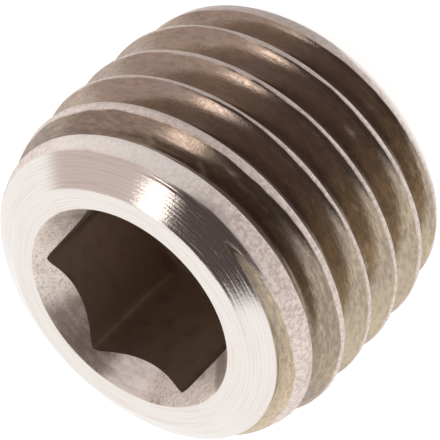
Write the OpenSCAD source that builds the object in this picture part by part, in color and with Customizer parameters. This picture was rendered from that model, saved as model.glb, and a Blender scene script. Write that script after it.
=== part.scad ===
// Hexagon socket pipe plug with a right-hand taper thread, in millimetres.
// It stands on its small end with the mouth of the socket up. The origin is
// the centre of the small end face, and the axis is +Z.

/* [Body] */
// Length from the small end face to the socket face
length = 10; // [8:0.5:20]
// Diameter of the flat face round the socket mouth
face_d = 8.84; // [8.2:0.02:9.6]
// Slope of the socket-end chamfer from the face
face_chamfer_angle = 33; // [25:1:45]
// Diameter of the socket-end chamfer at its outer edge
face_shoulder_d = 11; // [10.6:0.05:11.6]
// Diameter of the flat small end face
end_face_d = 8.1; // [7:0.05:9.4]
// Slope of the small-end chamfer from the end face
end_chamfer_angle = 39; // [25:1:45]
// Diameter of the small-end chamfer at its outer edge
end_shoulder_d = 11.1; // [10.4:0.05:11.4]

/* [Thread] */
// Crest diameter at the gauge plane
thread_d = 12; // [11.7:0.05:12.3]
// Height of the gauge plane above the small end face
gauge_height = 4.5; // [2:0.1:6]
// Distance from one crest to the next
pitch = 1.5; // [1:0.05:1.75]
// Growth in diameter for each millimetre of height, 1 in 16
taper = 0.0625; // [0:0.0025:0.08]
// Angle between the two flanks of the groove
flank_angle = 60; // [55:1:60]
// Width of the flat along a full crest
crest_land = 0.14; // [0.08:0.01:0.2]
// Radius of the rounded bottom of the groove
root_radius = 0.21; // [0.1:0.01:0.24]
// Turn of the whole thread about the axis
thread_turn = 292; // [0:1:359]
// Height over which the crests fill out below the socket-end chamfer
face_lead = 2.4; // [1:0.1:3]
// Height over which the crests fill out above the small-end chamfer
end_lead = 2; // [1:0.1:3]

/* [Socket] */
// Hexagon size across its flats, for a 6 mm key
across_flats = 6; // [4:0.05:6.2]
// Depth of the flats below the socket face
socket_depth = 4.6; // [3:0.1:6]
// Turn of the hexagon about the axis
socket_turn = 30; // [0:1:59]
// Width of the step left round the pilot hole at the bottom of the flats
pilot_step = 0.1; // [0.05:0.05:0.8]
// How much deeper than the flats the pilot hole goes
pilot_extra = 0.3; // [0.1:0.1:1]
// Point angle of the pilot hole
point_angle = 118; // [90:1:140]
// Diameter of the countersink at the socket face
countersink_d = 7.4; // [7.3:0.05:8]
// Angle of the countersink
countersink_angle = 75; // [60:1:120]

/* [Hidden] */
$fn = 96;

steel = [0.66, 0.62, 0.58];

// How far a cutter stands out of the face that it cuts
clear = 0.5;

// Facets round one turn of the thread, and straight steps along two curves
turn_steps = 90;
root_steps = 3;
lead_steps = 4;

// How steeply a lead falls away towards its chamfer
lead_power = 1.4;

// Depth of the groove, whose round bottom is tangent to both flanks
flank = flank_angle / 2;
thread_depth = (pitch - crest_land) / 2 / tan(flank) - root_radius * (1 / sin(flank) - 1);

// Heights of the outer edges of the two chamfers
face_chamfer_z = length - (face_shoulder_d - face_d) / 2 * tan(face_chamfer_angle);
end_chamfer_z = (end_shoulder_d - end_face_d) / 2 * tan(end_chamfer_angle);

// Radius of the full crests at a height
function crest_r(z) = thread_d / 2 + (z - gauge_height) * taper / 2;

// Points of a lead, from the shoulder of radius r at height z to the full
// crest at height z + run. Rolled crests fill out along such a curve.
function lead(r, z, run) = [
    for (i = [0 : lead_steps])
        let (u = i / lead_steps, at = z + u * run)
        [crest_r(at) - (crest_r(z) - r) * pow(1 - u, lead_power), at]
];

function reversed(points) = [for (i = [len(points) - 1 : -1 : 0]) points[i]];

// The blank, whose skin is both faces, both chamfers and every crest. It is
// turned half a facet from the thread, so that its seam meets no thread edge.
module blank() {
    rotate([0, 0, thread_turn + 180 / turn_steps])
        rotate_extrude()
            polygon(concat(
                [[0, 0], [end_face_d / 2, 0]],
                lead(end_shoulder_d / 2, end_chamfer_z, end_lead),
                reversed(lead(face_shoulder_d / 2, face_chamfer_z, -face_lead)),
                [[face_d / 2, length], [0, length]]
            ));
}

// One pitch of the thread's section, as [height, depth below a full crest]:
// the sharp ridge where two flanks would meet, then the round groove bottom.
section = concat(
    [[0, -crest_land / 2 / tan(flank)]],
    [for (i = [0 : root_steps])
        let (a = (90 - flank) * (2 * i / root_steps - 1))
        [pitch / 2 + root_radius * sin(a), thread_depth - root_radius * (1 - cos(a))]]
);

// The thread as a rod without ends, longer than the blank. Its surface is the
// section carried up a right-hand helix: column j stands at j / turn_steps of
// a turn, and row i climbs the section. After a full turn the rows have
// climbed one pitch, so the last column meets column 0 one section higher.
module thread_rod() {
    rows = len(section);
    first = -2 * pitch;
    top = (ceil((length + clear) / pitch) + 2) * rows;

    function point(j, i) =
        let (
            s = section[i % rows],
            z = first + (floor(i / rows) + j / turn_steps) * pitch + s[0],
            r = crest_r(z) - s[1],
            a = 360 * j / turn_steps
        )
        [r * cos(a), r * sin(a), z];

    function index(j, i) =
        j == turn_steps ? i + rows :
        j == 0 ? i :
        top + rows + 1 + (j - 1) * (top + 1) + i;

    points = concat(
        [for (i = [0 : top + rows]) point(0, i)],
        [for (j = [1 : turn_steps - 1], i = [0 : top]) point(j, i)],
        [[0, 0, first + pitch / 2], [0, 0, first + (top / rows + 0.5) * pitch]]
    );
    bottom_apex = len(points) - 2;
    top_apex = len(points) - 1;

    faces = concat(
        [for (j = [0 : turn_steps - 1], i = [0 : top - 1])
            [index(j, i), index(j, i + 1), index(j + 1, i + 1)]],
        [for (j = [0 : turn_steps - 1], i = [0 : top - 1])
            [index(j, i), index(j + 1, i + 1), index(j + 1, i)]],
        [for (j = [0 : turn_steps - 1]) [index(j, 0), index(j + 1, 0), bottom_apex]],
        [for (i = [0 : rows - 1]) [i + 1, i, bottom_apex]],
        [for (j = [0 : turn_steps - 1]) [index(j + 1, top), index(j, top), top_apex]],
        [for (i = [top : top + rows - 1]) [i, i + 1, top_apex]]
    );

    rotate([0, 0, thread_turn])
        polyhedron(points, faces, convexity = 10);
}

// The socket: hexagon flats, and one round cut that is the pilot hole with its
// point, deeper than the flats, and the countersink over it. Its seam lies in
// the middle of a flat.
module socket() {
    half_cone = countersink_angle / 2;
    mouth_r = countersink_d / 2;
    pilot_r = across_flats / 2 - pilot_step;
    pilot_foot = length - socket_depth - pilot_extra;

    translate([0, 0, length - socket_depth])
        rotate([0, 0, socket_turn])
            cylinder(h = socket_depth + clear, d = across_flats / cos(30), $fn = 6);

    rotate([0, 0, socket_turn + 30])
        rotate_extrude()
            polygon([
                [0, pilot_foot - pilot_r / tan(point_angle / 2)],
                [pilot_r, pilot_foot],
                [pilot_r, length - (mouth_r - pilot_r) / tan(half_cone)],
                [mouth_r + clear * tan(half_cone), length + clear],
                [0, length + clear]
            ]);
}

module plug() {
    color(steel)
        difference() {
            intersection() {
                blank();
                thread_rod();
            }
            socket();
        }
}

plug();
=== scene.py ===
import math

import bpy
import numpy as np
from mathutils import Matrix, Vector


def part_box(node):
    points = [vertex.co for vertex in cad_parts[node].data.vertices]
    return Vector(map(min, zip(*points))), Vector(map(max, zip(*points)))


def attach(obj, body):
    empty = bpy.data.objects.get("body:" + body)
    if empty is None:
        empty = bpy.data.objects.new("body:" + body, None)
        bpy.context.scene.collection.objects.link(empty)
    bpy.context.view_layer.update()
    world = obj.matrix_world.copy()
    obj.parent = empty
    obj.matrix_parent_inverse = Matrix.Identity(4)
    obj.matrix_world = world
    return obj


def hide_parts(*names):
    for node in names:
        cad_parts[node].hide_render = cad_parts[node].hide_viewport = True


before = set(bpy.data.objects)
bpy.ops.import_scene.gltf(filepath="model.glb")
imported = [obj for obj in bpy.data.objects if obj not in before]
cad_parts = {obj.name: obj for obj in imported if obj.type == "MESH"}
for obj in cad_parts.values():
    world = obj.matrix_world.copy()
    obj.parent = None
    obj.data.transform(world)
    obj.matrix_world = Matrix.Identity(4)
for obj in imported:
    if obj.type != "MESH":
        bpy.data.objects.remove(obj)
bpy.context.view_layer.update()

# ---------------------------------------------------------------------------
# The plug: one piece of bright steel, cut from bar. The blank is turned with a
# chamfer at each end, the socket is drilled, broached and countersunk, and the
# taper thread is rolled, so its crests fill out away from the chamfers.

# Sizes are in millimetres, as on a drawing
MM = 0.001
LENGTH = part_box("plug")[1].z / MM

FACE_D = 8.84
FACE_SHOULDER_D = 11
FACE_CHAMFER_SLOPE = math.tan(math.radians(33))
END_FACE_D = 8.1
END_SHOULDER_D = 11.1
END_CHAMFER_SLOPE = math.tan(math.radians(39))
FACE_SHOULDER = LENGTH - (FACE_SHOULDER_D - FACE_D) / 2 * FACE_CHAMFER_SLOPE
END_SHOULDER = (END_SHOULDER_D - END_FACE_D) / 2 * END_CHAMFER_SLOPE

THREAD_D = 12
GAUGE_HEIGHT = 4.5
PITCH = 1.5
TAPER = 0.0625
FLANK = math.radians(30)
CREST_LAND = 0.14
ROOT_RADIUS = 0.21
THREAD_TURN = 292
FACE_LEAD = 2.4
END_LEAD = 2
LEAD_POWER = 1.4

# The broached corners are a little blunt: a circle trims them, and blends with
# the flats over a width
ACROSS_FLATS = 6
SOCKET_TURN = 30
SOCKET_DEPTH = 4.6
SOCKET_CORNER_R = 3.43
SOCKET_CORNER_EDGE = 0.13
PILOT_R = ACROSS_FLATS / 2 - 0.1
PILOT_EXTRA = 0.3
POINT_SLOPE = 1 / math.tan(math.radians(118 / 2))
COUNTERSINK_D = 7.4
COUNTERSINK_SLOPE = 1 / math.tan(math.radians(75 / 2))

# How wide the rounded edges of a land and of a shoulder are along the axis,
# and the tangent length of the rounding at the two faces
LAND_EDGE = 0.045
SHOULDER_EDGE = 0.08
FACE_EDGE = 0.06
MOUTH_EDGE = 0.03
ARC_ROWS = 5

COLUMNS = 360
angle = np.arange(COLUMNS) * 360 / COLUMNS

flank_slope = 1 / math.tan(FLANK)
groove_depth = (PITCH - CREST_LAND) / 2 * flank_slope - ROOT_RADIUS * (1 / math.sin(FLANK) - 1)


def crest_radius(z):
    """Radius over the full crests: half the gauge diameter, growing by half
    the taper for each millimetre above the gauge plane."""
    return THREAD_D / 2 + (z - GAUGE_HEIGHT) * TAPER / 2


def eased_smaller(first, second, soft):
    """The smaller of two radii, less a parabola where they differ by less
    than a length, so that the edge where they cross is rounded."""
    near = np.clip(soft - np.abs(first - second), 0, None) / soft
    return np.minimum(first, second) - near ** 2 * soft / 4


def cone_radius(z):
    """Radius of the two turned chamfers: half a face's diameter, growing with
    the distance from that face over the chamfer's slope."""
    face_cone = FACE_D / 2 + (LENGTH - z) / FACE_CHAMFER_SLOPE
    end_cone = END_FACE_D / 2 + z / END_CHAMFER_SLOPE
    return np.minimum(face_cone, end_cone)


def lead_radius(z):
    """Radius of the rolled crests: the crest radius less what is missing at
    each shoulder, times the share of the lead still to go, to a power."""
    to_face = np.clip((z - FACE_SHOULDER + FACE_LEAD) / FACE_LEAD, 0, 1) ** LEAD_POWER
    to_end = np.clip((END_SHOULDER + END_LEAD - z) / END_LEAD, 0, 1) ** LEAD_POWER
    at_face = crest_radius(FACE_SHOULDER) - FACE_SHOULDER_D / 2
    at_end = crest_radius(END_SHOULDER) - END_SHOULDER_D / 2
    return crest_radius(z) - at_face * to_face - at_end * to_end


def blank_radius(z):
    """Radius of the skin that the grooves are rolled into: the smaller of the
    chamfers and the crests, with the edge between them rounded."""
    return eased_smaller(cone_radius(z), lead_radius(z), 2 * SHOULDER_EDGE)


def groove_radius(z, away):
    """Radius of the thread alone: the crest radius less a depth that grows
    along a straight flank with the distance away from the ridge's middle, and
    ends in a round root tangent to both flanks."""
    from_root = np.clip(PITCH / 2 - away, 0, ROOT_RADIUS)
    root_depth = groove_depth - ROOT_RADIUS + np.sqrt(ROOT_RADIUS ** 2 - from_root ** 2)
    flank_depth = (away - CREST_LAND / 2) * flank_slope
    in_root = from_root < ROOT_RADIUS * math.cos(FLANK)
    return crest_radius(z) - np.where(in_root, root_depth, flank_depth)


def outer_radius(z, away):
    """Radius of the finished outside: the smaller of blank and thread, with
    the edge of the land rounded."""
    return eased_smaller(blank_radius(z), groove_radius(z, away), 2 * LAND_EDGE)


def land_half(ridge, side, halvings=25):
    """Distance from a ridge's middle to the edge of its land, above it (side
    1) or below (-1): where thread and blank cross, found by halving a span.
    Where they never do, past the run-out, it ends just short of the root."""
    near, far = np.zeros_like(ridge), np.full_like(ridge, PITCH / 2 - 4 * LAND_EDGE)
    for _ in range(halvings):
        middle = (near + far) / 2
        z = ridge + side * middle
        outside = groove_radius(z, middle) > blank_radius(z)
        near, far = np.where(outside, middle, near), np.where(outside, far, middle)
    return far


def rounded_outline(corners, edges):
    """Points along straight lines from corner to corner, as rows of radius and
    height. Each inner corner becomes a parabola from one tangent point to the
    other, which lie that corner's rounding before and after it."""
    corners = np.array(corners, float)
    parts = [corners[:1]]
    for before, corner, after, edge in zip(corners, corners[1:], corners[2:], edges):
        start = corner + edge * (before - corner) / np.linalg.norm(before - corner)
        end = corner + edge * (after - corner) / np.linalg.norm(after - corner)
        s = np.linspace(0, 1, ARC_ROWS)[:, None]
        parts.append((1 - s) ** 2 * start + 2 * s * (1 - s) * corner + s ** 2 * end)
    parts.append(corners[-1:])
    return np.concatenate(parts)


def between(start, end, shares):
    """Rows of radius and height at shares of the way from one line round the
    plug to another. Each line is a pair: radius and height at each column."""
    shares = np.asarray(shares)[:, None]
    return [start[i] + shares * (end[i] - start[i]) for i in (0, 1)]


def round_line(r, z):
    """A line round the plug at one radius and height, as a pair of columns."""
    return np.full(COLUMNS, float(r)), np.full(COLUMNS, float(z))


def eased_along(values, columns=15):
    """Values at each column of each ridge, averaged along the helix, where one
    ridge's last column runs on into the next one's first."""
    padded = np.pad(values.ravel(), columns // 2, "edge")
    return np.convolve(padded, np.full(columns, 1 / columns), "valid").reshape(values.shape)


# Shares of the way from a root to a land's edge, and across a land, at which
# rows lie
GROOVE_ROWS = np.array([0, 0.09, 0.18, 0.27, 0.4, 0.55, 0.7, 0.86, 1])
LAND_ROWS = np.array([0, 0.3, 0.7, 1])

# Three more rows follow a shoulder where it crosses a land, this far apart.
# Elsewhere they wait near the land's edge, at these shares of its width.
SHOULDER_GAP = 0.8 * SHOULDER_EDGE
WAITING = 0.15
WAITING_GAP = 0.05


def helical_rows(low, high):
    """Heights and ridge distances of the rows that climb with the thread, and
    the number of rows in a cell. A cell runs from root to root over a ridge,
    with its rows closer together in the root and at the land's two edges, and
    it rises by a pitch in one turn, so its end meets the next cell's start."""
    first = math.floor(low / PITCH + THREAD_TURN / 360 - 0.5)
    last = math.ceil(high / PITCH + THREAD_TURN / 360 + 0.5)
    ridge = PITCH * ((angle - THREAD_TURN) / 360 + np.arange(first, last + 1)[:, None])
    above, below = [eased_along(land_half(ridge, side)) for side in (1, -1)]

    groove = GROOVE_ROWS[:, None, None]
    lower = groove * (PITCH / 2 - below - LAND_EDGE) - PITCH / 2
    upper = PITCH / 2 - groove[:0:-1] * (PITCH / 2 - above - LAND_EDGE)

    width = below + above - 2 * LAND_EDGE
    shoulder = np.where(ridge > LENGTH / 2, FACE_SHOULDER, END_SHOULDER) - ridge
    step = np.array([-1, 0, 1])[:, None, None]
    at_shoulder = (shoulder + step * SHOULDER_GAP + below - LAND_EDGE) / width
    at_shoulder = np.clip(
        at_shoulder, WAITING + WAITING_GAP * step, 1 - WAITING + WAITING_GAP * step)
    land = LAND_ROWS[:, None, None] + 0 * width
    land = np.sort(np.concatenate([land, at_shoulder]), 0)
    across = LAND_EDGE - below + land * width
    offset = np.concatenate([lower, -below[None], across, above[None], upper])

    z = np.moveaxis(ridge + offset, 0, 1).reshape(-1, COLUMNS)
    away = np.moveaxis(np.abs(offset), 0, 1).reshape(-1, COLUMNS)
    return z, away, len(offset)


# The grooves run out into the chamfers where the root is no deeper than the
# chamfer. The rows outside these two heights lie in plain rings.
root_at_zero = THREAD_D / 2 - GAUGE_HEIGHT * TAPER / 2 - groove_depth
run_out_high = (FACE_D / 2 + LENGTH / FACE_CHAMFER_SLOPE - root_at_zero) / (
    1 / FACE_CHAMFER_SLOPE + TAPER / 2)
run_out_low = (root_at_zero - END_FACE_D / 2) / (1 / END_CHAMFER_SLOPE - TAPER / 2)
run_out_high += 2 * LAND_EDGE
run_out_low -= 2 * LAND_EDGE

# A ring on the flat small end, and how far in from the mouth's edge the first
# ring of the countersink lies
END_RING_R = 1.3
MOUTH_RING = 0.1
end_rows = rounded_outline([
    (END_RING_R, 0),
    (END_FACE_D / 2, 0),
    (cone_radius(run_out_low), run_out_low),
], [FACE_EDGE])
face_rows = rounded_outline([
    (cone_radius(run_out_high), run_out_high),
    (FACE_D / 2, LENGTH),
    (COUNTERSINK_D / 2, LENGTH),
    (COUNTERSINK_D / 2 - MOUTH_RING, LENGTH - MOUTH_RING * COUNTERSINK_SLOPE),
], [FACE_EDGE, MOUTH_EDGE])
thread_z, thread_away, cell_rows = helical_rows(run_out_low, run_out_high)
thread_held = np.clip(thread_z, run_out_low, run_out_high)
thread_r = outer_radius(thread_held, thread_away)

# Where the thread's rows lie on the blank's skin, 1, and not in a groove, 0.
# The bright skin takes in this share of a land's rounded edge.
BRIGHT_EDGE = 0.55
above_skin = groove_radius(thread_held, thread_away) - blank_radius(thread_held)
on_skin = np.clip(BRIGHT_EDGE + above_skin / LAND_EDGE, 0, 1)

# The skin is turned where a chamfer cuts the crests, and rolled elsewhere. The
# tool went past a shoulder by a share of its rounding, and by more along one
# stretch of the turn, given in degrees, which fades out at its end.
PAST_SHOULDER = 0.1
OVERRUN_REACH = 1.9
OVERRUN_START = 225
OVERRUN_END = 290
OVERRUN_FADE = 18
overrun = np.clip((OVERRUN_END - angle) / OVERRUN_FADE, 0, 1) * (angle > OVERRUN_START)
past_cone = (lead_radius(thread_held) - cone_radius(thread_held)) / SHOULDER_EDGE
on_chamfer = np.clip(PAST_SHOULDER + OVERRUN_REACH * overrun + past_cone, 0, 1)

# Oil settles in a groove from this share of its depth downwards
OIL_FROM = 0.6
depth_share = (crest_radius(thread_held) - thread_r) / groove_depth
in_root = np.clip((depth_share - OIL_FROM) / (1 - OIL_FROM), 0, 1)

# The flats stand off from the axis by half the size across them, over the
# cosine of the angle from the middle of each flat
from_middle = (angle - SOCKET_TURN) % 60 - 30
flat_r = ACROSS_FLATS / 2 / np.cos(np.radians(from_middle))
flat_r = eased_smaller(flat_r, SOCKET_CORNER_R, SOCKET_CORNER_EDGE)
flat_top = LENGTH - (COUNTERSINK_D / 2 - flat_r) * COUNTERSINK_SLOPE
flat_foot = LENGTH - SOCKET_DEPTH
pilot_z = flat_foot - PILOT_EXTRA

mouth = round_line(*face_rows[-1])
scallop = (flat_r, flat_top)
foot = (flat_r, np.full(COLUMNS, flat_foot))
pilot = round_line(PILOT_R, flat_foot)
pilot_foot = round_line(PILOT_R, pilot_z)
point = round_line(0, pilot_z - PILOT_R * POINT_SLOPE)

# Every row of the plug, from the middle of the small end, up the outside and
# down into the socket to the drill's point. Rows between two lines lie at
# shares of the way from one to the other.
blocks = {
    "end": between(round_line(0, 0), round_line(*end_rows[0]), [0, 0.5]),
    "end chamfer": [np.tile(end_rows[:, i, None], COLUMNS) for i in (0, 1)],
    "thread": [thread_r, thread_held],
    "face": [np.tile(face_rows[:, i, None], COLUMNS) for i in (0, 1)],
    "countersink": between(mouth, scallop, np.linspace(0.15, 1, 7)),
    "flats": between(scallop, foot, np.linspace(0.08, 1, 10)),
    "step": between(foot, pilot, [0.5, 1]),
    "pilot": between(pilot, pilot_foot, [0.5, 1]),
    "point": between(pilot_foot, point, np.linspace(0.2, 1, 5)),
}
rows_r = np.concatenate([r for r, z in blocks.values()])
rows_z = np.concatenate([z for r, z in blocks.values()])
block_end = dict(zip(blocks, np.cumsum([len(r) for r, z in blocks.values()])))

# Each point of the grid has its own number, but all points of a pole are one,
# and the thread's points past a plain ring, or this close to it, are the ring's
MERGED = LAND_EDGE / 4
thread_low, thread_high = block_end["end chamfer"], block_end["thread"]
row_of = np.tile(np.arange(len(rows_r))[:, None], COLUMNS)
thread_rows = row_of[thread_low:thread_high]
thread_rows[thread_z < run_out_low + MERGED] = thread_low - 1
thread_rows[thread_z > run_out_high - MERGED] = thread_high
number = row_of * COLUMNS + np.arange(COLUMNS)
number[0] = number[0, 0]
number[-1] = number[-1, 0]

# One column more closes the turn: the thread's rows meet the rows one cell up
closing = number[:, 0].copy()
climbed = closing[thread_low + cell_rows:thread_high]
closing[thread_high - cell_rows:thread_high] = closing[thread_high]
closing[thread_low:thread_high - cell_rows] = climbed
number = np.column_stack([number, closing])

# Two triangles for each cell of the grid, less those that have no width
a, b = number[:-1, :-1], number[:-1, 1:]
c, d = number[1:, 1:], number[1:, :-1]
triangles = np.concatenate([np.stack([a, b, c], -1), np.stack([a, c, d], -1)], 1)
row_at = np.repeat(np.arange(len(triangles)), triangles.shape[1])
triangles = triangles.reshape(-1, 3)
whole = (np.diff(np.sort(triangles, 1), axis=1) > 0).all(1)
triangles, row_at = triangles[whole], row_at[whole]
kept, triangles = np.unique(triangles, return_inverse=True)
triangles = triangles.reshape(-1, 3)

turn = np.radians(np.tile(angle, len(rows_r)))[kept]
radius, height = rows_r.ravel()[kept], rows_z.ravel()[kept]
corners = np.column_stack([radius * np.cos(turn), radius * np.sin(turn), height]) * MM

mesh = bpy.data.meshes.new("plug_body")
mesh.vertices.add(len(corners))
mesh.vertices.foreach_set("co", corners.ravel())
mesh.loops.add(triangles.size)
mesh.loops.foreach_set("vertex_index", triangles.ravel())
mesh.polygons.add(len(triangles))
mesh.polygons.foreach_set("loop_start", np.arange(0, triangles.size, 3))
mesh.polygons.foreach_set("use_smooth", np.ones(len(triangles), bool))

# The outside's finish ends in the mouth's rounding, and the countersink's at
# its scalloped edge with the flats
finish_rows = [block_end["face"] - ARC_ROWS, block_end["countersink"] - 1]
mesh.polygons.foreach_set("material_index", np.searchsorted(finish_rows, row_at, "right"))
mesh.update(calc_edges=True)

turned, rolled, oily = np.ones(rows_r.shape), np.zeros(rows_r.shape), np.zeros(rows_r.shape)
turned[thread_low:thread_high] = on_skin * on_chamfer
rolled[thread_low:thread_high] = on_skin
oily[thread_low:thread_high] = in_root
for name, share in (("turned", turned), ("land", rolled), ("root", oily)):
    mesh.attributes.new(name, "FLOAT", "POINT").data.foreach_set("value", share.ravel()[kept])

SHARP_ANGLE = 32
mesh.set_sharp_from_angle(angle=math.radians(SHARP_ANGLE))

plug = bpy.data.objects.new("plug_body", mesh)
bpy.context.scene.collection.objects.link(plug)
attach(plug, "root")
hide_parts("plug")

# The steel keeps the finish that each tool left: rings from the lathe on the
# face and the chamfers, a soft grain on the rolled lands, old oil in dull
# mottled grooves, a pitted countersink and dark flats inside the socket. Painted
# shade lies on the grooves of one side and in the countersink, and painted
# highlights lie on the lands near the face and in the countersink.


def put(tree, kind, inputs=None, **settings):
    """Adds a node with its settings. Each input is either another node's
    output, which is linked, or a plain value."""
    node = tree.nodes.new("ShaderNode" + kind)
    for name, value in settings.items():
        setattr(node, name, value)
    for socket, value in (inputs or {}).items():
        if isinstance(value, bpy.types.NodeSocket):
            tree.links.new(value, node.inputs[socket])
        else:
            node.inputs[socket].default_value = value
    return node


def maths(tree, operation, *values, clamp=False):
    """The result of one sum, product or other operation on numbers."""
    node = put(tree, "Math", dict(enumerate(values)), operation=operation, use_clamp=clamp)
    return node.outputs[0]


def times(tree, first, second):
    """One number times another."""
    return maths(tree, "MULTIPLY", first, second)


def vector_maths(tree, operation, *values, scale=None):
    """The node for one operation on vectors, with its vector and its value."""
    inputs = dict(enumerate(values))
    if scale is not None:
        inputs["Scale"] = scale
    return put(tree, "VectorMath", inputs, operation=operation)


def blend(tree, share, first, second):
    """The first colour where the share is 0, turning into the second at 1."""
    return put(tree, "Mix", {0: share, 6: first, 7: second}, data_type="RGBA").outputs[2]


def blend_numbers(tree, share, first, second):
    """The first number where the share is 0, turning into the second at 1."""
    return put(tree, "Mix", {0: share, 2: first, 3: second}, data_type="FLOAT").outputs[0]


def level(tree, value, low, high, to_low=0.0, to_high=1.0):
    """A value carried smoothly from the range between low and high to another
    range, and held at its ends beyond them."""
    return put(tree, "MapRange", {0: value, 1: low, 2: high, 3: to_low, 4: to_high},
               interpolation_type="SMOOTHSTEP").outputs[0]


def shared_effect(name, inputs, outputs):
    """A node group with named number inputs and outputs, ready to be filled."""
    group = bpy.data.node_groups.new(name, "ShaderNodeTree")
    for socket, value in inputs.items():
        group.interface.new_socket(
            socket, in_out="INPUT", socket_type="NodeSocketFloat").default_value = value
    for socket in outputs:
        group.interface.new_socket(socket, in_out="OUTPUT", socket_type="NodeSocketFloat")
    given = group.nodes.new("NodeGroupInput").outputs
    result = group.nodes.new("NodeGroupOutput").inputs
    return group, given, result


def use(tree, group, **inputs):
    """The first output of a shared effect, placed with its own values."""
    node = tree.nodes.new("ShaderNodeGroup")
    node.node_tree = group
    for socket, value in inputs.items():
        node.inputs[socket].default_value = value
    return node.outputs[0]


def place_and_radius(tree):
    """The place on the plug in millimetres, the same place at no height, and
    how far it lies from the axis: that second place's length."""
    place = put(tree, "TexCoord").outputs["Object"]
    place = vector_maths(tree, "SCALE", place, scale=1 / MM).outputs[0]
    flat_place = vector_maths(tree, "MULTIPLY", place, (1, 1, 0)).outputs[0]
    from_axis = vector_maths(tree, "LENGTH", flat_place).outputs["Value"]
    return place, flat_place, from_axis


# Marks that run round the plug. The noise is read at the direction from the
# axis, which changes slowly round the plug, and at the height and the distance
# from the axis, which change quickly across the marks.
round_marks, given, result = shared_effect(
    "round marks", {"Round": 3.0, "Across": 20.0, "Detail": 2.0}, ["Height"])
place, flat_place, from_axis = place_and_radius(round_marks)
heading = vector_maths(round_marks, "NORMALIZE", flat_place).outputs[0]
heading = vector_maths(round_marks, "SCALE", heading, scale=given["Round"]).outputs[0]
up_axis = put(round_marks, "SeparateXYZ", {0: place}).outputs["Z"]
up_axis = times(round_marks, up_axis, given["Across"])
up_axis = put(round_marks, "CombineXYZ", {"Z": up_axis}).outputs[0]
spot = vector_maths(round_marks, "ADD", heading, up_axis).outputs[0]
depth = times(round_marks, from_axis, given["Across"])
noise = put(round_marks, "TexNoise", {
    "Vector": spot, "W": depth, "Scale": 1.0, "Detail": given["Detail"],
    "Roughness": 0.6}, noise_dimensions="4D")
round_marks.links.new(noise.outputs[0], result["Height"])

# The regular rings that a lathe tool leaves: a sine of the distance from the
# axis over the feed, which wanders a little round the plug
feed_marks, given, result = shared_effect(
    "feed marks", {"Pitch": 0.1, "Wander": 2.0}, ["Height"])
place, flat_place, from_axis = place_and_radius(feed_marks)
turns = maths(feed_marks, "DIVIDE", from_axis, given["Pitch"])
phase = times(feed_marks, turns, 2 * math.pi)
noise = put(feed_marks, "TexNoise", {"Vector": place, "Scale": 0.8, "Detail": 2.0})
wander = times(feed_marks, noise.outputs[0], given["Wander"])
rings = maths(feed_marks, "SINE", maths(feed_marks, "ADD", phase, wander))
feed_marks.links.new(maths(feed_marks, "MULTIPLY_ADD", rings, 0.5, 0.5), result["Height"])

# A stretch of the way round the plug: 1 within an angle of a heading from the
# axis, 0 beyond a wider one, all in degrees
sector, given, result = shared_effect(
    "sector", {"Heading": 90.0, "Inner": 10.0, "Outer": 20.0}, ["Mask"])
place = put(sector, "SeparateXYZ", {0: put(sector, "TexCoord").outputs["Object"]}).outputs
heading = maths(sector, "DEGREES", maths(sector, "ARCTAN2", place["Y"], place["X"]))
away = maths(sector, "ABSOLUTE", maths(sector, "SUBTRACT", heading, given["Heading"]))
sector.links.new(level(sector, away, given["Outer"], given["Inner"]), result["Mask"])

# Small dark pits and specks: noise above a threshold, which is lower the
# larger their share is, with an edge of some softness
specks, given, result = shared_effect(
    "specks", {"Size": 0.1, "Share": 0.3, "Softness": 0.08}, ["Mask"])
fineness = maths(specks, "DIVIDE", 1 / MM, given["Size"])
noise = put(specks, "TexNoise", {
    "Vector": put(specks, "TexCoord").outputs["Object"], "Scale": fineness,
    "Detail": 3.0, "Roughness": 0.55})
edge = maths(specks, "SUBTRACT", 0.75, times(specks, given["Share"], 0.5))
above_edge = maths(specks, "ADD", edge, given["Softness"])
specks.links.new(level(specks, noise.outputs[0], edge, above_edge), result["Mask"])


def steel_material(name):
    """An empty metal material, its tree and its shader."""
    material = bpy.data.materials.new(name)
    material.use_nodes = True
    tree = material.node_tree
    shader = tree.nodes["Principled BSDF"]
    shader.inputs["Metallic"].default_value = 1.0
    return material, tree, shader


# The outside. Its colours, from the brightest metal down to old oil, which also
# serves as painted shade; one of the lands' colours is a painted highlight
TURNED = (0.9, 0.84, 0.795, 1)
TURNED_LINE = (0.78, 0.7, 0.65, 1)
TURNED_RING = (0.68, 0.6, 0.555, 1)
LAND = (1.0, 0.87, 0.8, 1)
# A painted highlight on the lands near the face
LAND_PAINTED_GLINT = (1.0, 0.92, 0.87, 1)
LAND_WORN = (0.7, 0.56, 0.5, 1)
LAND_DULLED = (0.55, 0.45, 0.4, 1)
RUN_OUT_GOLD = (0.75, 0.6, 0.42, 1)
GROOVE_OLIVE = (0.59, 0.48, 0.34, 1)
GROOVE_PINK = (0.48, 0.385, 0.335, 1)
# Old oil, and also the painted shade on one side of the grooves
OIL_AND_SHADE = (0.22, 0.17, 0.135, 1)

# The stretches round the plug, in degrees, on which a look differs
OLIVE_SIDE = {"Heading": -160.0, "Inner": 20.0, "Outer": 75.0}
# The stretch where the grooves get painted shade
SHADE_SIDE = {"Heading": -128.0, "Inner": 12.0, "Outer": 42.0}
RUN_OUT_SIDE = {"Heading": -124.0, "Inner": 10.0, "Outer": 28.0}
DULLED_SIDE = {"Heading": -50.0, "Inner": 12.0, "Outer": 55.0}
# The stretch of lands with the painted highlight
GLINT_SIDE = {"Heading": -50.0, "Inner": 20.0, "Outer": 42.0}

# The heights in millimetres between which it starts: there is nothing of it at
# the first, and all of it at the second
RUN_OUT_HEIGHT = (8.4, 8.8)
GOLD_HEIGHT = (8.5, 9.0)
FIRST_GROOVE_FOOT = (6.4, 7.6)
FIRST_GROOVE_TOP = (9.0, 8.5)
DULLED_HEIGHT = (8.2, 7.2)
# Heights of the lands' painted highlight
GLINT_HEIGHT = (7.6, 8.3)

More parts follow.
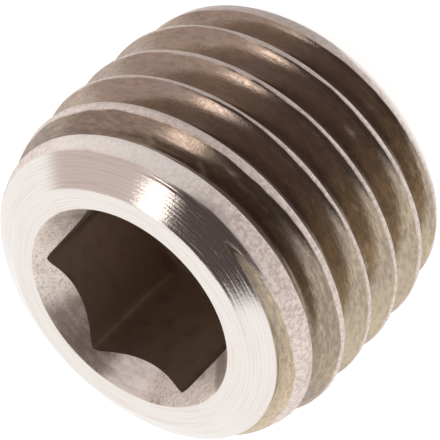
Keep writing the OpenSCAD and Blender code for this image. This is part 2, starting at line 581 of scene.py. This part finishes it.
outside, tree, shader = steel_material("turned and rolled steel")
turned = put(tree, "Attribute", attribute_name="turned").outputs["Fac"]
land = put(tree, "Attribute", attribute_name="land").outputs["Fac"]
root = put(tree, "Attribute", attribute_name="root").outputs["Fac"]
place = put(tree, "TexCoord").outputs["Object"]
height_mm = maths(tree, "DIVIDE", put(tree, "SeparateXYZ", {0: place}).outputs["Z"], MM)

lines = use(tree, round_marks, Round=2.5, Across=11.0, Detail=3.0)
streaks = use(tree, round_marks, Round=16.0, Across=12.0, Detail=3.0)
tints = use(tree, round_marks, Round=3.0, Across=1.6, Detail=2.0)
feed = use(tree, feed_marks, Pitch=0.1, Wander=3.0)
dirt = use(tree, specks, Size=0.13, Share=0.4, Softness=0.3)
grain = put(tree, "TexNoise", {
    "Vector": place, "Scale": 13.0 / MM, "Detail": 4.0, "Roughness": 0.7}).outputs[0]
grit = put(tree, "TexNoise", {
    "Vector": place, "Scale": 7.0 / MM, "Detail": 5.0, "Roughness": 0.75}).outputs[0]

# The land has a slightly ragged edge. The last bit of the groove, where it
# runs out into the chamfer, is dull.
ragged = maths(tree, "MULTIPLY_ADD", maths(tree, "SUBTRACT", tints, 0.5), 2.0, land)
land = level(tree, ragged, 0.25, 0.75)
bare_land = maths(tree, "SUBTRACT", land, turned, clamp=True)
dull_end = use(tree, sector, **RUN_OUT_SIDE)
dull_end = times(tree, dull_end, level(tree, height_mm, *RUN_OUT_HEIGHT))
dull_end = maths(tree, "SUBTRACT", dull_end, maths(tree, "ADD", land, turned), clamp=True)

# Grooves: pink or olive steel, golden in the run-out, under oil that lies in
# stains, in specks, in the root and in the first groove, with painted shade in
# streaks on the grooves of one side
olive = times(tree, level(tree, tints, 0.35, 0.65), 0.4)
olive = maths(tree, "MULTIPLY_ADD", use(tree, sector, **OLIVE_SIDE), 0.6, olive)
groove_colour = blend(tree, olive, GROOVE_PINK, GROOVE_OLIVE)
groove_colour = blend(tree, level(tree, height_mm, *GOLD_HEIGHT), groove_colour, RUN_OUT_GOLD)
stained = times(tree, level(tree, streaks, 0.4, 0.7), 0.35)
# Painted shade, in streaks, on the grooves of one side
painted_shade_side = use(tree, sector, **SHADE_SIDE)
painted_shade_side = times(tree, painted_shade_side, level(tree, streaks, 0.3, 0.65, 0.05, 0.42))
first_groove = times(
    tree, level(tree, height_mm, *FIRST_GROOVE_FOOT), level(tree, height_mm, *FIRST_GROOVE_TOP))
first_groove = times(tree, first_groove, level(tree, streaks, 0.2, 0.6, 0.1, 0.5))
specked, settled = times(tree, dirt, 0.75), times(tree, root, 0.4)
for share in (stained, specked, settled, painted_shade_side, first_groove):
    groove_colour = blend(tree, share, groove_colour, OIL_AND_SHADE)

# Lands: speckled by the rolls, dulled on one side, painted highlight near the face
land_colour = blend(tree, level(tree, grit, 0.38, 0.6), LAND_WORN, LAND)
dulled = use(tree, sector, **DULLED_SIDE)
dulled = times(tree, dulled, level(tree, height_mm, *DULLED_HEIGHT))
land_colour = blend(tree, times(tree, dulled, 0.7), land_colour, LAND_DULLED)
# A painted highlight on the lands near the face, on one stretch of the turn
painted_glint = use(tree, sector, **GLINT_SIDE)
painted_glint = times(tree, painted_glint, level(tree, height_mm, *GLINT_HEIGHT))
land_colour = blend(tree, times(tree, painted_glint, 0.65), land_colour, LAND_PAINTED_GLINT)

# Turned faces: a few broad lines, and the lathe's fine rings
turned_colour = blend(tree, level(tree, lines, 0.45, 0.8), TURNED, TURNED_LINE)
turned_colour = blend(tree, times(tree, feed, 0.2), turned_colour, TURNED_RING)

colour = blend(tree, land, groove_colour, land_colour)
colour = blend(tree, turned, colour, turned_colour)
tree.links.new(colour, shader.inputs["Base Color"])

LAND_ROUGHNESS = 0.42
groove_rough = level(tree, grain, 0.3, 0.7, 0.12, 0.22)
turned_rough = level(tree, lines, 0.3, 0.7, 0.06, 0.13)
rough = blend_numbers(tree, land, groove_rough, LAND_ROUGHNESS)
rough = blend_numbers(tree, turned, rough, turned_rough)
tree.links.new(rough, shader.inputs["Roughness"])

# The lands' grain and the dull end scatter light, as a film on the metal does
metal = maths(tree, "SUBTRACT", 1.0, times(tree, bare_land, 0.6))
metal = maths(tree, "SUBTRACT", metal, times(tree, dull_end, 0.7))
tree.links.new(metal, shader.inputs["Metallic"])

GRAIN_DEPTH = 0.004 * MM
CUT_DEPTH = 0.014 * MM
rolled_height = blend_numbers(tree, land, times(tree, streaks, 0.25), times(tree, grit, 2.0))
cut_height = maths(tree, "ADD", times(tree, lines, 0.7), times(tree, feed, 0.1))
height = blend_numbers(tree, turned, rolled_height, cut_height)
fine = put(tree, "Bump", {"Height": grain, "Strength": 0.8, "Distance": GRAIN_DEPTH})
bump = put(tree, "Bump", {
    "Height": height, "Strength": 0.8, "Distance": CUT_DEPTH, "Normal": fine.outputs[0]})
tree.links.new(bump.outputs[0], shader.inputs["Normal"])

# The countersink: a chattered cut with grey clouds and dark pits, with a painted
# dark reflection and painted shade along two stretches, and a painted highlight
# along a third
CUT = (0.95, 0.85, 0.78, 1)
CUT_LINE = (0.84, 0.73, 0.65, 1)
CUT_CLOUD = (0.54, 0.45, 0.38, 1)
CUT_PIT = (0.34, 0.27, 0.21, 1)
# The colour of the countersink's painted shade and painted dark reflection
CUT_PAINTED_SHADE = (0.33, 0.26, 0.21, 1)
# The colour of the countersink's painted highlight
CUT_PAINTED_HIGHLIGHT = (1.0, 0.88, 0.84, 1)
# Stretches with the painted dark reflection, the painted shade and the painted highlight
DARK_REFLECTION_SIDE = {"Heading": 79.0, "Inner": 14.0, "Outer": 29.0}
SHADED_CUT_SIDE = {"Heading": -168.0, "Inner": 4.0, "Outer": 17.0}
HIGHLIGHT_SIDE = {"Heading": 116.0, "Inner": 7.0, "Outer": 17.0}
CHATTER_DEPTH = 0.02 * MM

countersink, tree, shader = steel_material("countersunk steel")
pits = use(tree, specks, Size=0.08, Share=0.56, Softness=0.25)
clouds = use(tree, specks, Size=0.9, Share=0.55, Softness=0.25)
lines = use(tree, round_marks, Round=6.0, Across=6.0, Detail=4.0)
# A painted dark reflection along one stretch, broken by the lines
painted_dark_reflection = use(tree, sector, **DARK_REFLECTION_SIDE)
painted_dark_reflection = times(tree, painted_dark_reflection, level(tree, lines, 0.3, 0.6, 0.5, 1.0))
# Painted shade along a second stretch
painted_cut_shade = use(tree, sector, **SHADED_CUT_SIDE)
# A painted highlight along a third stretch, which also takes off some of the metal
painted_highlight = use(tree, sector, **HIGHLIGHT_SIDE)
painted_highlight = times(tree, painted_highlight, level(tree, lines, 0.6, 0.35, 0.6, 1.0))
colour = blend(tree, level(tree, lines, 0.3, 0.7), CUT, CUT_LINE)
colour = blend(tree, times(tree, clouds, 0.85), colour, CUT_CLOUD)
colour = blend(tree, times(tree, pits, 0.6), colour, CUT_PIT)
colour = blend(tree, times(tree, painted_dark_reflection, 0.75), colour, CUT_PAINTED_SHADE)
colour = blend(tree, times(tree, painted_cut_shade, 0.65), colour, CUT_PAINTED_SHADE)
colour = blend(tree, painted_highlight, colour, CUT_PAINTED_HIGHLIGHT)
tree.links.new(colour, shader.inputs["Base Color"])
metal = maths(tree, "SUBTRACT", 0.75, times(tree, painted_highlight, 0.5))
tree.links.new(metal, shader.inputs["Metallic"])
shader.inputs["Roughness"].default_value = 0.42
bump = put(tree, "Bump", {"Height": lines, "Strength": 0.5, "Distance": CHATTER_DEPTH})
tree.links.new(bump.outputs[0], shader.inputs["Normal"])

# The socket's flats and pilot hole: scuffed steel with a film of oil
BROACHED = (0.5, 0.41, 0.345, 1)
BROACHED_SCUFF = (0.38, 0.31, 0.255, 1)

socket, tree, shader = steel_material("broached steel")
scuffs = use(tree, specks, Size=0.5, Share=0.6, Softness=0.4)
colour = blend(tree, scuffs, BROACHED, BROACHED_SCUFF)
tree.links.new(colour, shader.inputs["Base Color"])
shader.inputs["Roughness"].default_value = 0.5

for finish in (outside, countersink, socket):
    mesh.materials.append(finish)

# ---------------------------------------------------------------------------
# The floor: a plain sheet of white paper just under the plug. The camera sees
# it as white, and it keeps a soft shadow. The steel mirrors the tent instead.

WHITE = (1, 1, 1, 1)
FLOOR_REACH = 1.0
FLOOR_Z = -2e-5
floor_mesh = bpy.data.meshes.new("floor")
floor_mesh.from_pydata([
    (x * FLOOR_REACH, y * FLOOR_REACH, FLOOR_Z)
    for x, y in ((-1, -1), (1, -1), (1, 1), (-1, 1))
], [], [(0, 1, 2, 3)])
floor = bpy.data.objects.new("floor", floor_mesh)
bpy.context.scene.collection.objects.link(floor)
floor.visible_glossy = False


def seen_share(tree):
    """1 for the rays of the camera, of reflections and through clear things,
    and 0 for the rays that light the plug."""
    rays = put(tree, "LightPath").outputs
    seen = maths(tree, "ADD", rays["Is Camera Ray"], rays["Is Glossy Ray"])
    return maths(tree, "ADD", seen, rays["Is Transmission Ray"], clamp=True)


# How much the paper glows to those rays, to come out as white as the world
PAPER_GLOW = 0.68
paper = bpy.data.materials.new("white paper")
paper.use_nodes = True
tree = paper.node_tree
shader = tree.nodes["Principled BSDF"]
shader.inputs["Base Color"].default_value = (0.8, 0.8, 0.8, 1)
shader.inputs["Roughness"].default_value = 0.9
shader.inputs["Specular IOR Level"].default_value = 0.0
shader.inputs["Emission Color"].default_value = WHITE
glow = times(tree, seen_share(tree), PAPER_GLOW)
tree.links.new(glow, shader.inputs["Emission Strength"])
floor_mesh.materials.append(paper)

# ---------------------------------------------------------------------------
# The light: a white studio and one tall soft lamp. Round the plug stands a
# tent of white cloth with soft-edged darker patches, for the steel to mirror.

WORLD_LIGHT = (0.85, 0.85, 0.85, 1)
world = bpy.data.worlds.new("studio")
world.use_nodes = True
bpy.context.scene.world = world
tree = world.node_tree
tint = blend(tree, seen_share(tree), WORLD_LIGHT, WHITE)
tree.links.new(tint, tree.nodes["Background"].inputs["Color"])


def facing_plug(direction, along, distance):
    """Where a lamp stands at a distance from the plug's middle in a direction,
    with its face towards the plug and its longer side as near as it can be to
    the second direction."""
    towards = Vector(direction).normalized()
    longer = Vector(along)
    longer = (longer - longer.dot(towards) * towards).normalized()
    side = longer.cross(towards)
    middle = Vector((0, 0, LENGTH / 2 * MM))
    return Matrix.Translation(middle + towards * distance) @ Matrix(
        (side, longer, towards)).transposed().to_4x4()


lamp_data = bpy.data.lights.new("soft lamp", "AREA")
lamp_data.shape = "RECTANGLE"
lamp_data.size = 0.045
lamp_data.size_y = 0.09
lamp_data.energy = 0.033
lamp_data.color = (1.0, 0.93, 0.86)
lamp = bpy.data.objects.new("soft lamp", lamp_data)
bpy.context.scene.collection.objects.link(lamp)
lamp.matrix_world = facing_plug((0.35, -0.09, 0.93), (-0.34, 0.94, 0), distance=0.3)
lamp.visible_camera = False

# The patches of the tent. Each has the direction of its middle, the angles
# from there at which it starts and stops fading, and its colour, and covers
# the ones before it.
PATCHES = [
    ((0.652, -0.357, -0.668), 22, 46, (0.4, 0.385, 0.395, 1)),
    ((0.93, -0.33, -0.1), 10, 28, (0.66, 0.64, 0.65, 1)),
    ((-0.87, -0.44, -0.2), 12, 30, (0.66, 0.62, 0.6, 1)),
    ((0.75, 0.05, 0.66), 27, 35, (0.63, 0.55, 0.53, 1)),
    ((-0.11, -0.97, 0.21), 34, 62, (0.24, 0.204, 0.212, 1)),
    ((0.4535, -0.6742, 0.5814), 22, 32, (0.125, 0.096, 0.088, 1)),
    ((-0.10, -0.54, 0.83), 31, 40, (0.088, 0.068, 0.066, 1)),
]


def round_patch(tree, towards, inner, outer):
    """1 within an angle of a direction from the plug, 0 beyond a wider one:
    the cosine of the angle from there, carried from one to the other."""
    spot = vector_maths(tree, "NORMALIZE", put(tree, "TexCoord").outputs["Object"]).outputs[0]
    towards = tuple(Vector(towards).normalized())
    along = vector_maths(tree, "DOT_PRODUCT", spot, towards).outputs["Value"]
    return level(tree, along, math.cos(math.radians(outer)), math.cos(math.radians(inner)))


tent_cloth = bpy.data.materials.new("tent cloth")
tent_cloth.use_nodes = True
tree = tent_cloth.node_tree
tree.nodes.remove(tree.nodes["Principled BSDF"])
tint = WHITE
for towards, inner, outer, patch in PATCHES:
    tint = blend(tree, round_patch(tree, towards, inner, outer), tint, patch)
cloth = put(tree, "Emission", {"Color": tint})
tree.links.new(cloth.outputs[0], tree.nodes["Material Output"].inputs["Surface"])

# A sphere: the sine of the angle down from the top gives each ring's radius,
# and its cosine gives the height
TENT_R = 0.5
TENT_RINGS = 37
TENT_COLUMNS = 48
down = np.radians(np.linspace(0, 180, TENT_RINGS))[:, None]
around = np.radians(np.arange(TENT_COLUMNS) * 360 / TENT_COLUMNS)
dome = np.stack([
    np.sin(down) * np.cos(around),
    np.sin(down) * np.sin(around),
    np.cos(down) * np.ones(TENT_COLUMNS),
], -1).reshape(-1, 3) * TENT_R
grid = np.arange(len(dome)).reshape(TENT_RINGS, TENT_COLUMNS)
ahead = np.roll(grid, -1, 1)
quads = np.stack([grid[:-1], ahead[:-1], ahead[1:], grid[1:]], -1).reshape(-1, 4)
tent_mesh = bpy.data.meshes.new("tent")
tent_mesh.from_pydata(dome.tolist(), [], quads.tolist())
tent_mesh.materials.append(tent_cloth)
tent = bpy.data.objects.new("tent", tent_mesh)
bpy.context.scene.collection.objects.link(tent)
for rays in ("camera", "diffuse", "transmission", "volume_scatter", "shadow"):
    setattr(tent, "visible_" + rays, False)

# ---------------------------------------------------------------------------
# The camera: a long lens that looks down into the socket, from a place in
# millimetres, with the directions of its right and of its top.

CAMERA_PLACE = Vector((-5.49, -150.4, 116.6))
CAMERA_RIGHT = Vector((-0.7109, -0.4018, -0.5773))
CAMERA_UP = Vector((0.7029, -0.4400, -0.5590))
SENSOR = 36.0
LENS_PER_SENSOR = 13.636
camera_data = bpy.data.cameras.new("camera")
camera_data.sensor_width = SENSOR
camera_data.lens = LENS_PER_SENSOR * SENSOR
camera_data.clip_start = 0.001
camera = bpy.data.objects.new("camera", camera_data)
bpy.context.scene.collection.objects.link(camera)
camera.matrix_world = Matrix.Translation(CAMERA_PLACE * MM) @ Matrix(
    (CAMERA_RIGHT, CAMERA_UP, CAMERA_RIGHT.cross(CAMERA_UP))).transposed().to_4x4()
bpy.context.scene.camera = camera

bpy.context.scene.view_settings.view_transform = "Standard"
